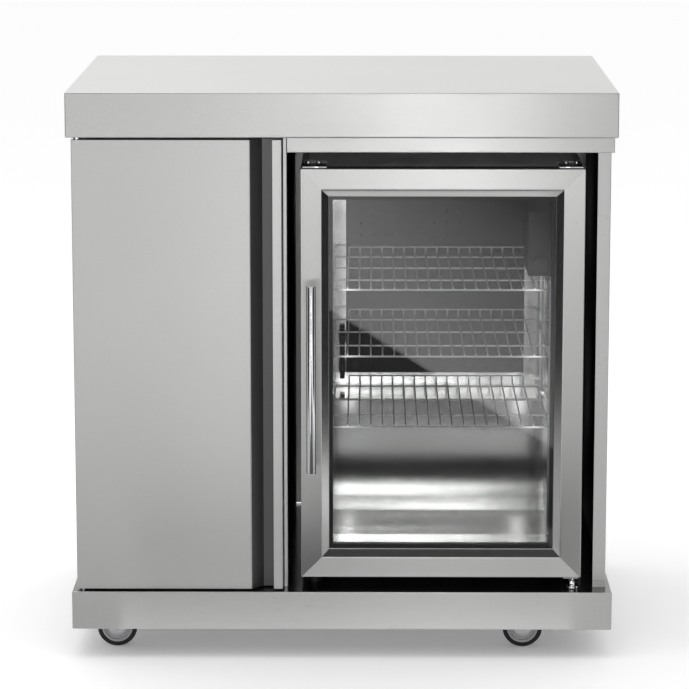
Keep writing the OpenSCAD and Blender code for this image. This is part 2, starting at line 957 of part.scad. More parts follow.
module condenser_fan() {
    color("dimgray")
        translate([cfan_x - 6, yf(cfan_d), cfan_z])
            rotate([0, 90, 0])
                fan_wheel(cfan_r, 12, 5);
}

// Thermostat knob with a pointer rib and a blind bore
module thermostat_knob() {
    d1 = box_d0 - free_gap;
    d0 = d1 - knob_h;
    color("gray")
        difference() {
            union() {
                rod_deep(knob_x, knob_z, [d0, d1], knob_r);
                block(
                    [knob_x - 1.5, knob_x + 1.5],
                    [d0 - 3, d1 - 2],
                    [knob_z - knob_r + 2, knob_z + knob_r - 1]
                );
            }
            rod_deep(knob_x, knob_z, [box_d0 - knob_h + 1.7, d1 + 1], axle_r + run_gap);
        }
}

// Wire shelf: long wires over cross wires, with a raised wire at the rear
module wire_shelf(lvl) {
    z = lz0 + lvl;
    over = 1.5 * wire_r;
    half = (wire_n - 1) / 2;
    r = wire_r;
    color(chrome)
        union() {
            for (d = cross_ds)
                rod_wide([sh_x0, sh_x1], d, z, r, 8);
            for (x = [sh_x0 + r, sh_x1 - r])
                rod_deep(x, z, [sh_d0 - r, sh_d0 + 325 + r], r * 1.2, 8);
            rod_wide([cabin_x - half * wire_p - r, cabin_x + half * wire_p + r], sh_d1, z + shelf_rise, r, 8);
            for (i = [-half : half]) {
                rod_deep(cabin_x + i * wire_p, z + over, [sh_d0 - r, sh_d1 + r], r, 8);
                rod_high(cabin_x + i * wire_p, sh_d1, [z + over, z + shelf_rise + r], r, 8);
            }
        }
}

module lower_shelf() {
    wire_shelf(shelf_lvls[0]);
}

module middle_shelf() {
    wire_shelf(shelf_lvls[1]);
}

module upper_shelf() {
    wire_shelf(shelf_lvls[2]);
}

// Levelling foot with its screw in the casing's floor
module left_foot() {
    color(dark) {
        rod_high(foot_x, foot_d, [base_top, base_top + 7], 11);
        rod_high(foot_x, foot_d, [base_top + 6, fz0 + 12], hinge_r);
    }
}

// Levelling foot with its screw in the lower hinge pin
module right_foot() {
    color(chrome) {
        rod_high(hinge_x, hinge_d, [base_top, base_top + 5], 10);
        rod_high(hinge_x, hinge_d, [base_top + 4, base_top + 13], 6.5, 6);
        rod_high(hinge_x, hinge_d, [base_top + 12, fd_z0 + 4], 2.5);
    }
}

// ---- refrigerator door ---------------------------------------------------------------------

// Ring round the door between two insets from its edge and two depths
module door_ring(u, d) {
    difference() {
        block([fx0 + u[0], fx1 - u[0]], d, [fd_z0 + u[0], fd_z1 - u[0]]);
        block([fx0 + u[1], fx1 - u[1]], [d[0] - big, d[1] + big], [fd_z0 + u[1], fd_z1 - u[1]]);
    }
}

// Folded section of the door frame: inset from the edge, and depth, with a side return
function frame_section(turn) = [
    [rail_w, glass_d - fit],
    [rail_w, face_d + bevel_d],
    [face_w, face_d],
    [0, face_d],
    [0, face_d + turn]
];

// Top and bottom rails, mitred at their ends
module door_rails() {
    p = frame_section(4);
    cx = (fx0 + fx1) / 2;
    cz = (fd_z0 + fd_z1) / 2;
    color(steel)
        for (s = [0, 1])
            translate([0, 0, cz])
                mirror([0, 0, s])
                    translate([0, 0, -cz])
                        intersection() {
                            section([fx0, fx1])
                                folded([for (q = p) [q[1], fd_z0 + q[0]]], sheet_t);
                            elevation([face_d - big, fd_back])
                                polygon([
                                    [fx0 + seam, fd_z0],
                                    [fx1 - seam, fd_z0],
                                    [cx, fd_z0 + (fx1 - fx0) / 2 - seam]
                                ]);
                        }
}

// Left and right stiles, mitred at their ends
module door_stiles() {
    p = frame_section(fdoor_t - 3);
    cx = (fx0 + fx1) / 2;
    half = (fx1 - fx0) / 2;
    color(steel)
        for (s = [0, 1])
            translate([cx, 0, 0])
                mirror([s, 0, 0])
                    translate([-cx, 0, 0])
                        intersection() {
                            plan([fd_z0, fd_z1])
                                folded([for (q = p) [fx0 + q[0], q[1]]], -sheet_t);
                            elevation([face_d - big, fd_back])
                                polygon([
                                    [fx0, fd_z0 + seam],
                                    [fx0, fd_z1 - seam],
                                    [cx, fd_z1 - seam - half],
                                    [cx, fd_z0 + seam + half]
                                ]);
                        }
}

// Plastic core of the door: it holds the glass and the hinge pins turn in it
module door_inner_frame() {
    g = sheet_t + fit;
    color(dark)
        difference() {
            union() {
                door_ring([g, face_w - 1], [face_d + g, fd_back]);
                door_ring([face_w - 1 - big, glass_u - fit], [face_d + g + 4.5, fd_back]);
                door_ring([glass_u - big, rail_w + 3.5], [lip_d, fd_back]);
            }
            rod_high(hinge_x, hinge_d, [fd_z1 - hinge_deep - 2, fd_z1 + 1], hinge_r + run_gap);
            rod_high(hinge_x, hinge_d, [fd_z0 - 1, fd_z0 + hinge_deep + 2], hinge_r + run_gap);
        }
}

// Glass pane behind the frame, front face at depth d
module pane(d) {
    color([0.7, 0.8, 0.8, 0.35])
        block([fx0 + glass_u, fx1 - glass_u], [d, d + pane_t], [fd_z0 + glass_u, fd_z1 - glass_u]);
}

module outer_glass() {
    pane(glass_d);
}

module inner_glass() {
    pane(pane2_d);
}

// Bar that keeps the two panes apart
module glass_spacer() {
    color(dark)
        door_ring([glass_u + 3, glass_u + 14], [glass_d + pane_t + fit, pane2_d - fit]);
}

// Magnetic seal between door and casing
module door_gasket() {
    color(dark)
        door_ring([hinge_in + 1, hinge_in + 17], [fd_back, fd_back + gasket_t - free_gap]);
}

// Handle bar with its two posts
module door_handle() {
    z = [bar_z - handle_l / 2, bar_z + handle_l / 2];
    color(chrome)
        union() {
            rod_high(bar_x, bar_d, z, handle_r);
            for (p = [z[0] + post_in, z[1] - post_in])
                rod_deep(bar_x, p, [bar_d, face_d - fit], 4.5);
        }
}

// ---- casters -------------------------------------------------------------------------------

// Top plates with race, kingpin and kingpin head, bolted under the beams
module caster_plates() {
    color(steel)
        for (x = [-swivel_x, swivel_x])
            for (d = [swivel_front, swivel_rear])
                union() {
                    block(
                        [x - plate_half[0], x + plate_half[0]],
                        [d - plate_half[1], d + plate_half[1]],
                        [plate_z - 3, plate_z]
                    );
                    rod_high(x, d, [crown_z + crown_t + free_gap, plate_z - 2], race_r);
                    rod_high(x, d, [crown_z - 3.5, plate_z - 2], king_r);
                    rod_high(x, d, [crown_z - 3.5, crown_z - free_gap], 8);
                }
}

// Fork with its crown, two legs and the axle
module fork(x, d) {
    ax = x - trail;
    inner = wheel_w / 2 + leg_gap;
    z1 = crown_z + crown_t;
    color(steel)
        difference() {
            union() {
                block([x - 20, x + 13], [d - inner - leg_t, d + inner + leg_t], [crown_z, z1]);
                rod_high(x, d, [crown_z, z1], race_r);
                for (k = [[d - inner - leg_t, d - inner], [d + inner, d + inner + leg_t]]) {
                    elevation(k)
                        polygon([[ax - 11.5, wheel_r + 6], [x - 20, z1], [x + 13, z1], [ax + 9, wheel_r - 9]]);
                    rod_deep(ax, wheel_r, k, 13);
                }
                rod_deep(ax, wheel_r, [d - inner - leg_t - 2, d + inner + leg_t + 2], axle_r);
                rod_deep(ax, wheel_r, [d - inner - leg_t - 2.5, d - inner - leg_t + big], 5, 6);
                rod_deep(ax, wheel_r, [d + inner + leg_t - big, d + inner + leg_t + 2.5], 5, 6);
            }
            rod_high(x, d, [crown_z - 1, z1 + 1], king_r + run_gap);
        }
}

// Wheel hub with a recessed web and a bore
module hub(x, d) {
    ax = x - trail;
    half = wheel_w / 2;
    color("lightgray")
        difference() {
            rod_deep(ax, wheel_r, [d - half + 0.5, d + half - 0.5], hub_r - fit);
            for (k = [[d - half, d - half + 3], [d + half - 3, d + half]])
                difference() {
                    rod_deep(ax, wheel_r, k, hub_r - 4);
                    rod_deep(ax, wheel_r, [k[0] - 1, k[1] + 1], 8);
                }
            rod_deep(ax, wheel_r, [d - half - 1, d + half + 1], axle_r + run_gap);
        }
}

// Tyre with rounded shoulders
module tyre(x, d) {
    half = wheel_w / 2;
    shoulder = 3;
    color([0.1, 0.1, 0.1])
        translate([x - trail, yf(d), wheel_r])
            rotate([-90, 0, 0])
                rotate_extrude($fn = smooth)
                    union() {
                        translate([hub_r, -half])
                            square([wheel_r - shoulder - hub_r, wheel_w]);
                        translate([hub_r, -half + shoulder])
                            square([wheel_r - hub_r, wheel_w - 2 * shoulder]);
                        for (s = [-1, 1])
                            translate([wheel_r - shoulder, s * (half - shoulder)])
                                circle(r = shoulder, $fn = smooth);
                    }
}

module front_left_fork() {
    fork(-swivel_x, swivel_front);
}

module front_left_hub() {
    hub(-swivel_x, swivel_front);
}

module front_left_tyre() {
    tyre(-swivel_x, swivel_front);
}

module front_right_fork() {
    fork(swivel_x, swivel_front);
}

module front_right_hub() {
    hub(swivel_x, swivel_front);
}

module front_right_tyre() {
    tyre(swivel_x, swivel_front);
}

module rear_left_fork() {
    fork(-swivel_x, swivel_rear);
}

module rear_left_hub() {
    hub(-swivel_x, swivel_rear);
}

module rear_left_tyre() {
    tyre(-swivel_x, swivel_rear);
}

module rear_right_fork() {
    fork(swivel_x, swivel_rear);
}

module rear_right_hub() {
    hub(swivel_x, swivel_rear);
}

module rear_right_tyre() {
    tyre(swivel_x, swivel_rear);
}

// ---- drawing -------------------------------------------------------------------------------

countertop();
top_stiffeners();
header_rail();
left_side_panel();
right_side_panel();
divider_panel();
rear_panels();
panel_screws();
base_tray();
caster_beams();
storage_shelf();
door_pivots();
magnet_catch();
cable_grommet();
storage_door_skin();
storage_door_liner();
pivot_bushes();
fridge_casing();
fridge_insulation();
fridge_liner();
evaporator_cover();
cover_plugs();
evaporator_coil();
thermostat_bulb();
control_box();
shelf_tracks();
top_hinge_plates();
lower_hinge_plate();
compressor();
machine_base();
condenser_coil();
rear_grille();
fan_motors();
evaporator_fan();
condenser_fan();
thermostat_knob();
upper_shelf();
middle_shelf();
lower_shelf();
left_foot();
right_foot();
door_rails();
door_stiles();
door_inner_frame();
outer_glass();
inner_glass();
glass_spacer();
door_gasket();
door_handle();
caster_plates();
front_left_fork();
front_left_hub();
front_left_tyre();
front_right_fork();
front_right_hub();
front_right_tyre();
rear_left_fork();
rear_left_hub();
rear_left_tyre();
rear_right_fork();
rear_right_hub();
rear_right_tyre();
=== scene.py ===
# %% [markdown]
# # An outdoor kitchen module with a glass-door refrigerator
# The construction comes in as a fixed frame: every CAD part lies where it belongs, in metres. This lesson
# gives those parts their looks. Nothing is moved or resized, so each step starts from a part's own box.

import json
import math

import bmesh
import bpy
from mathutils import Matrix, Vector


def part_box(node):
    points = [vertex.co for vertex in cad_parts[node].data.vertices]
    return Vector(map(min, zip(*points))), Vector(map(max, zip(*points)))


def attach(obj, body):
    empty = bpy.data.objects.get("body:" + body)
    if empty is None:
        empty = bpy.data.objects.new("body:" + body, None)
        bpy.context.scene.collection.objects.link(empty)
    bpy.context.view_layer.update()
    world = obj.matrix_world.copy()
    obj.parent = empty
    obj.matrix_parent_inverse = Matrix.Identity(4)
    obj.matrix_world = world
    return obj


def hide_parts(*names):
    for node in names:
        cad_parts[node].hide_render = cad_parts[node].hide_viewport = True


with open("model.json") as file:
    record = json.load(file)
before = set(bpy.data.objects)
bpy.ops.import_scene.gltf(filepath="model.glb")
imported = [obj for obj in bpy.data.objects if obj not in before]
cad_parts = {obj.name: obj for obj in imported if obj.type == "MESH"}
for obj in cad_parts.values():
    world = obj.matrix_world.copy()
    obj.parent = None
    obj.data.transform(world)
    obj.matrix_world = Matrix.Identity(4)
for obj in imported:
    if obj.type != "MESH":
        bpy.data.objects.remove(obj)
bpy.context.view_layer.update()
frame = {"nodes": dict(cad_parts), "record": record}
nodes = frame["nodes"]
body_of_node = {n: b for b, members in frame["record"]["behaviour"]["bodies"].items() for n in members}
MM = 0.001

# %% [markdown]
# ## Camera
# A cabinet is best shown from well in front and a little above its top, through a long lens, so that its
# sides stay nearly parallel and a strip of the countertop shows. A shifted lens would keep them quite
# parallel, but from this far the plain tilt is enough.

# %% Set the camera
countertop_low, countertop_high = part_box("countertop")
front_y = countertop_low.y
camera_data = bpy.data.cameras.new("camera")
camera_data.sensor_width = 36
camera_data.lens = 168
camera = bpy.data.objects.new("camera", camera_data)
bpy.context.scene.collection.objects.link(camera)
camera.location = (0.042, front_y - 4.8, 1.377)
view_axis = Vector((-0.00786, 1, -0.184))
camera.rotation_euler = view_axis.to_track_quat("-Z", "Y").to_euler()
bpy.context.scene.camera = camera
print("camera stands", round(front_y - camera.location.y, 2), "m in front")

# %% [markdown]
# ## Studio
# Brushed steel has hardly any colour of its own: it shows the room. A pale floor and a white surround make
# it bright, and dark cards that only reflections see draw its darker lower half and its dark bevels.

# %% Make the floor
def floor_shader(brightness, glow):
    material = bpy.data.materials.new("floor_white")
    material.use_nodes = True
    shader = material.node_tree.nodes["Principled BSDF"]
    colour = (brightness, brightness, brightness, 1)
    shader.inputs["Base Color"].default_value = colour
    shader.inputs["Roughness"].default_value = 0.9
    shader.inputs["Specular IOR Level"].default_value = 0.1
    shader.inputs["Emission Color"].default_value = colour
    shader.inputs["Emission Strength"].default_value = glow
    return material


def stage_sheet(name, corners, material):
    bm = bmesh.new()
    bm.faces.new([bm.verts.new(c) for c in corners])
    mesh = bpy.data.meshes.new(name)
    bm.to_mesh(mesh)
    bm.free()
    mesh.materials.append(material)
    sheet = bpy.data.objects.new(name, mesh)
    bpy.context.scene.collection.objects.link(sheet)
    return sheet


REACH = 40.0
floor = stage_sheet(
    "floor",
    [(-REACH, -REACH, 0), (REACH, -REACH, 0), (REACH, REACH, 0), (-REACH, REACH, 0)],
    floor_shader(0.95, 0.16),
)
print("floor reaches", REACH, "m each way")

# %% [markdown]
# The cards are dark or grey sheets. Each is hidden from the camera and from soft light, so it is only met
# by a reflection. A ray counts the clear faces that it has passed: going in and out through both panes
# makes eight. So a card can show one tone to the glass and another to the bright compartment behind it.

# %% Make the card shaders
CLEAR_FACES = 8


def only_in_reflections(sheet):
    sheet.visible_camera = False
    sheet.visible_diffuse = False
    sheet.visible_shadow = False
    sheet.visible_transmission = False


def card_shader(name, outside, inside):
    material = bpy.data.materials.new(name)
    material.use_nodes = True
    nt = material.node_tree
    nt.nodes.remove(nt.nodes["Principled BSDF"])
    path = nt.nodes.new("ShaderNodeLightPath")
    through = nt.nodes.new("ShaderNodeMath")
    through.operation = "GREATER_THAN"
    through.inputs[1].default_value = CLEAR_FACES - 0.5
    glow = nt.nodes.new("ShaderNodeEmission")
    tone = nt.nodes.new("ShaderNodeMapRange")
    tone.inputs["To Min"].default_value = outside
    tone.inputs["To Max"].default_value = inside
    nt.links.new(path.outputs["Transparent Depth"], through.inputs[0])
    nt.links.new(through.outputs[0], tone.inputs["Value"])
    nt.links.new(tone.outputs["Result"], glow.inputs["Strength"])
    nt.links.new(glow.outputs[0], nt.nodes["Material Output"].inputs["Surface"])
    return material


def fading_shader(name, start, end, first, last):
    """A card whose tone runs from first to last between two places on the floor."""
    material = card_shader(name, first, first)
    nt = material.node_tree
    place = nt.nodes.new("ShaderNodeTexCoord")
    along = nt.nodes.new("ShaderNodeVectorMath")
    along.operation = "DOT_PRODUCT"
    run = Vector((end[0] - start[0], end[1] - start[1], 0))
    along.inputs[1].default_value = run / run.length_squared
    shift = nt.nodes.new("ShaderNodeVectorMath")
    shift.operation = "SUBTRACT"
    shift.inputs[1].default_value = (*start, 0)
    fade = nt.nodes.new("ShaderNodeMapRange")
    fade.inputs["To Min"].default_value = first
    fade.inputs["To Max"].default_value = last
    nt.links.new(place.outputs["Object"], shift.inputs[0])
    nt.links.new(shift.outputs[0], along.inputs[0])
    nt.links.new(along.outputs["Value"], fade.inputs["Value"])
    glow = next(n for n in nt.nodes if n.type == "EMISSION")
    nt.links.new(fade.outputs["Result"], glow.inputs["Strength"])
    return material


print("a card shows its second tone after", CLEAR_FACES, "clear faces")

# %% [markdown]
# Near cards darken the lower steel and give the compartment's riser its bright and dark stretches. The
# pane's own card is dark up to a slanted edge, and beyond it lies a paler one, so the glass shows a
# slanted light. Outlines are given as places across the floor and distances in front of the top's edge.

# %% Place the cards
CARD_Z = 4 * MM


def floor_card(name, outline, shader):
    corners = [(across, front_y - ahead, CARD_Z) for across, ahead in outline]
    return stage_sheet(name, corners, shader)


def box_outline(left, right, near, far):
    return [(left, near), (right, near), (right, far), (left, far)]


pane_outline = [(-0.1, 1.1), (0.45, 1.1), (0.45, 1.33), (-0.1, 3.25)]
far_outline = [(0.45, 1.33), (0.9, 1.33), (0.9, 6.4), (-0.2, 6.4), (-0.2, 3.6)]
right_outline = [(0.36, 0.02), (0.8, 0.02), (0.8, 1.33), (0.45, 1.33), (0.45, 0.8), (0.36, 0.8)]
fade_start, fade_end = (0.266, front_y - 2.18), (0.913, front_y - 2.27)
cards = [
    floor_card("pane_card", pane_outline, card_shader("pane_card_black", 0.1, 0.0)),
    floor_card("step_card", box_outline(-0.1, 0.45, 0.8, 1.1), card_shader("step_card_split", 0.02, 0.9)),
    floor_card("toe_card", box_outline(-0.35, 0.36, 0.22, 0.8), card_shader("toe_card_grey", 0.1, 0.6)),
    floor_card(
        "left_floor_card", box_outline(-1.5, -0.35, 0.02, 1.2), card_shader("left_floor_grey", 0.5, 0.5)
    ),
    floor_card("right_floor_card", right_outline, card_shader("right_floor_grey", 0.5, 0.5)),
    floor_card("far_card", far_outline, fading_shader("far_card_grey", fade_start, fade_end, 1.05, 0.2)),
    stage_sheet(
        "ceiling_card",
        [(-1.6, -3.4, 2.7), (1.6, -3.4, 2.7), (1.6, -1.0, 2.7), (-1.6, -1.0, 2.7)],
        card_shader("ceiling_black", 0.05, 0.05),
    ),
]
SIDE_CARD_X, SIDE_CARD_TOP = 1.3, 1.5
for x, label in ((-SIDE_CARD_X, "left"), (SIDE_CARD_X, "right")):
    near_y, far_y = front_y - 0.1, front_y - 1.5
    upright = [(x, far_y, 0), (x, near_y, 0), (x, near_y, SIDE_CARD_TOP), (x, far_y, SIDE_CARD_TOP)]
    cards.append(stage_sheet(f"{label}_side_card", upright, card_shader(f"{label}_side_black", 0.02, 0.02)))
for card in cards:
    only_in_reflections(card)
print("cards:", [card.name for card in cards])

# %% [markdown]
# The surround is brighter behind the cabinet than in front, because the countertop mirrors what is behind
# it, and a little brighter to the left. A world whose strength follows the direction does this in one
# place, where a ring of lamps would leave separate spots in the steel.

# %% Light the surround
def add_range(tree, value, low, high):
    node = tree.nodes.new("ShaderNodeMapRange")
    node.inputs["From Min"].default_value = -1.0
    node.inputs["From Max"].default_value = 1.0
    node.inputs["To Min"].default_value = low
    node.inputs["To Max"].default_value = high
    tree.links.new(value, node.inputs["Value"])
    return node.outputs["Result"]


world = bpy.data.worlds.new("surround")
bpy.context.scene.world = world
world.use_nodes = True
tree = world.node_tree
backdrop = tree.nodes["Background"]
backdrop.inputs["Color"].default_value = (1, 1, 1, 1)
where = tree.nodes.new("ShaderNodeTexCoord")
split = tree.nodes.new("ShaderNodeSeparateXYZ")
join = tree.nodes.new("ShaderNodeMath")
join.operation = "MULTIPLY"
tree.links.new(where.outputs["Generated"], split.inputs[0])
tree.links.new(add_range(tree, split.outputs["Y"], 0.62, 1.15), join.inputs[0])
tree.links.new(add_range(tree, split.outputs["X"], 1.0, 0.95), join.inputs[1])
tree.links.new(join.outputs[0], backdrop.inputs["Strength"])
bpy.context.scene.view_settings.view_transform = "Standard"
print("surround lit")

# %% [markdown]
# A tall narrow softbox beside the camera gives the bright upright band that brushed sheet shows. A wide
# one above it is met twice, by the compartment's floor and by its step, and whitens them. The one overhead
# lights the top and lets the casters throw a soft shadow. Two slim strips inside the compartment, just
# behind the door's frame, pick out the shelf wires.

# %% Place the lights
def softbox(name, place, size, radiance, target):
    data = bpy.data.lights.new(name, "AREA")
    data.shape = "RECTANGLE"
    data.size, data.size_y = size
    data.energy = radiance * math.pi * size[0] * size[1]
    light = bpy.data.objects.new(name, data)
    bpy.context.scene.collection.objects.link(light)
    light.location = place
    aim = Vector(target) - Vector(place)
    light.rotation_euler = aim.to_track_quat("-Z", "Y").to_euler()
    return light


middle = (0, 0, 0.45)
softbox("band_light", (0.33, front_y - 5.6, 0.42), (0.24, 0.75), 10.0, middle)
softbox("step_light", (0.12, front_y - 5.7, 1.36), (0.6, 0.5), 7.5, middle)
softbox("top_light", (-0.6, -0.5, 3.4), (3.0, 2.0), 1.3, middle)
softbox("left_light", (-3.4, front_y - 1.8, 1.9), (1.4, 2.2), 1.1, middle)
liner_low, liner_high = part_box("fridge_liner")
STRIP_INSET, STRIP_DEPTH, STRIP_HEIGHT = 70 * MM, 12 * MM, 0.47
shelves_middle = (0.15, 0.1, 0.46)
for side, x in (("left", liner_low.x + STRIP_INSET), ("right", liner_high.x - STRIP_INSET)):
    strip_place = (x, liner_low.y + STRIP_DEPTH, STRIP_HEIGHT)
    strip = softbox(f"{side}_strip", strip_place, (0.02, 0.42), 1.5, shelves_middle)
    strip.visible_camera = False

# %% [markdown]
# ## Surface groups
# Grain, orange peel and marks appear on many materials, so each is a node group that gives only colours,
# masks and normals. The shader stays in each material. A few short helpers add a node and wire it up, so
# that a group reads as the sum it computes.

# %% Helpers for node groups
def new_group(name, inputs, outputs):
    group = bpy.data.node_groups.new(name, "ShaderNodeTree")
    for label, kind, value in inputs:
        socket = group.interface.new_socket(label, in_out="INPUT", socket_type=kind)
        if value is not None:
            socket.default_value = value
    for label, kind in outputs:
        group.interface.new_socket(label, in_out="OUTPUT", socket_type=kind)
    return group, group.nodes.new("NodeGroupInput"), group.nodes.new("NodeGroupOutput")


def add_noise(group, vector, scale, detail):
    noise = group.nodes.new("ShaderNodeTexNoise")
    noise.inputs["Detail"].default_value = detail
    group.links.new(vector, noise.inputs["Vector"])
    if isinstance(scale, float):
        noise.inputs["Scale"].default_value = scale
    else:
        group.links.new(scale, noise.inputs["Scale"])
    return noise.outputs["Fac"]


def add_math(group, operation, a, b):
    node = group.nodes.new("ShaderNodeMath")
    node.operation = operation
    for socket, value in zip(node.inputs, (a, b)):
        if isinstance(value, (int, float)):
            socket.default_value = value
        else:
            group.links.new(value, socket)
    return node.outputs[0]


def add_mix(group, factor, a, b):
    node = group.nodes.new("ShaderNodeMix")
    node.data_type = "RGBA"
    group.links.new(factor, node.inputs["Factor"])
    group.links.new(a, node.inputs[6])
    group.links.new(b, node.inputs[7])
    return node.outputs[2]


def add_bump(group, height, strength, distance):
    node = group.nodes.new("ShaderNodeBump")
    node.inputs["Distance"].default_value = distance
    group.links.new(height, node.inputs["Height"])
    group.links.new(strength, node.inputs["Strength"])
    return node.outputs["Normal"]


VECTOR, COLOUR, FLOAT = "NodeSocketVector", "NodeSocketColor", "NodeSocketFloat"
print("group helpers ready")

# %% [markdown]
# Brushed steel has fine lines along one way. They are noise on stretched coordinates, and the same noise
# gives the tone, a slight change of roughness and a shallow relief, so that the three agree.

# %% Build the grain group
RELIEF = 0.4 * MM
grain, g_in, g_out = new_group(
    "brushed_grain",
    [
        ("Vector", VECTOR, None),
        ("Stretched", VECTOR, None),
        ("Pale", COLOUR, (0.7, 0.7, 0.7, 1)),
        ("Deep", COLOUR, (0.55, 0.55, 0.55, 1)),
        ("Fineness", FLOAT, 60.0),
        ("Roughness", FLOAT, 0.3),
        ("Spread", FLOAT, 0.1),
        ("Marks", FLOAT, 0.05),
        ("Bump", FLOAT, 0.1),
    ],
    [("Color", COLOUR), ("Roughness", FLOAT), ("Normal", VECTOR)],
)
lines = add_noise(grain, g_in.outputs["Stretched"], g_in.outputs["Fineness"], 5.0)
clouds = add_noise(grain, g_in.outputs["Vector"], 5.5, 3.0)
speck = add_noise(grain, g_in.outputs["Vector"], 420.0, 1.0)
line_share = add_math(grain, "MULTIPLY", lines, 0.6)
speck_share = add_math(grain, "MULTIPLY", speck, 0.4)
tone = add_math(grain, "ADD", line_share, speck_share)
grain.links.new(add_mix(grain, tone, g_in.outputs["Deep"], g_in.outputs["Pale"]), g_out.inputs["Color"])
line_part = add_math(grain, "MULTIPLY", add_math(grain, "SUBTRACT", lines, 0.5), g_in.outputs["Spread"])
mark_part = add_math(grain, "MULTIPLY", add_math(grain, "SUBTRACT", clouds, 0.45), g_in.outputs["Marks"])
rough = add_math(grain, "ADD", add_math(grain, "ADD", line_part, mark_part), g_in.outputs["Roughness"])
grain.links.new(rough, g_out.inputs["Roughness"])
grain.links.new(add_bump(grain, lines, g_in.outputs["Bump"], RELIEF), g_out.inputs["Normal"])
print("group:", grain.name)

# %% [markdown]
# Paint, plastic and rubber share a second group: a fine pebbled skin, slow changes of tone, and a light
# film of dust that gathers on upward faces.

# %% Build the skin group
PEBBLE_HEIGHT = 0.3 * MM
skin, s_in, s_out = new_group(
    "moulded_skin",
    [
        ("Vector", VECTOR, None),
        ("Base", COLOUR, (0.05, 0.05, 0.05, 1)),
        ("Dust", COLOUR, (0.35, 0.34, 0.32, 1)),
        ("Grain", FLOAT, 900.0),
        ("Roughness", FLOAT, 0.5),
        ("Dustiness", FLOAT, 0.1),
        ("Bump", FLOAT, 0.2),
    ],
    [("Color", COLOUR), ("Roughness", FLOAT), ("Normal", VECTOR)],
)
pebble = add_noise(skin, s_in.outputs["Vector"], s_in.outputs["Grain"], 2.0)
drift = add_noise(skin, s_in.outputs["Vector"], 9.0, 4.0)
geometry = skin.nodes.new("ShaderNodeNewGeometry")
facing = skin.nodes.new("ShaderNodeSeparateXYZ")
skin.links.new(geometry.outputs["Normal"], facing.inputs[0])
up = add_math(skin, "MAXIMUM", facing.outputs["Z"], 0.15)
film = add_math(skin, "MULTIPLY", add_math(skin, "MULTIPLY", up, drift), s_in.outputs["Dustiness"])
skin.links.new(add_mix(skin, film, s_in.outputs["Base"], s_in.outputs["Dust"]), s_out.inputs["Color"])
uneven = add_math(skin, "MULTIPLY", add_math(skin, "SUBTRACT", drift, 0.5), 0.18)
skin.links.new(add_math(skin, "ADD", s_in.outputs["Roughness"], uneven), s_out.inputs["Roughness"])
skin.links.new(add_bump(skin, pebble, s_in.outputs["Bump"], PEBBLE_HEIGHT), s_out.inputs["Normal"])
print("group:", skin.name)

# %% [markdown]
# ## Materials
# Every metal uses the grain group with its own values. The stretch says which way the sheet was brushed,
# and the anisotropic highlight follows the same way through a UV map that each sheet piece carries.

# %% The metal shader
GRAIN_STRETCH = {"X": (1.0, 30.0, 30.0), "Z": (30.0, 30.0, 1.0), "none": (9.0, 9.0, 9.0)}


def start_material(name):
    material = bpy.data.materials.new(name)
    material.use_nodes = True
    nt = material.node_tree
    coords = nt.nodes.new("ShaderNodeTexCoord")
    return material, nt, nt.nodes["Principled BSDF"], coords.outputs["Object"]


def metal(
    name, pale, deep, roughness, along="X", spread=0.12, marks=0.06, bump=0.02, fineness=48.0, turned=None
):
    material, nt, shader, place = start_material(name)
    stretch = nt.nodes.new("ShaderNodeMapping")
    stretch.inputs["Scale"].default_value = GRAIN_STRETCH[along]
    nt.links.new(place, stretch.inputs["Vector"])
    group = nt.nodes.new("ShaderNodeGroup")
    group.node_tree = grain
    nt.links.new(place, group.inputs["Vector"])
    nt.links.new(stretch.outputs["Vector"], group.inputs["Stretched"])
    for label, value in (
        ("Pale", (*pale, 1)),
        ("Deep", (*deep, 1)),
        ("Fineness", fineness),
        ("Roughness", roughness),
        ("Spread", spread),
        ("Marks", marks),
        ("Bump", bump),
    ):
        group.inputs[label].default_value = value
    nt.links.new(group.outputs["Color"], shader.inputs["Base Color"])
    nt.links.new(group.outputs["Roughness"], shader.inputs["Roughness"])
    nt.links.new(group.outputs["Normal"], shader.inputs["Normal"])
    shader.inputs["Metallic"].default_value = 1.0
    if turned is not None:
        shader.inputs["Anisotropic"].default_value = 0.85
        shader.inputs["Anisotropic Rotation"].default_value = turned
        tangent = nt.nodes.new("ShaderNodeTangent")
        tangent.direction_type = "UV_MAP"
        tangent.uv_map = "grain"
        nt.links.new(tangent.outputs["Tangent"], shader.inputs["Tangent"])
    return material


print("grain runs:", list(GRAIN_STRETCH))

# %% [markdown]
# The compartment's liner is thin polished sheet. It is never quite flat, so what it mirrors wanders. Slow
# noise drawn out along X does that, and a ramp turns its floor a little, as a drained floor falls.

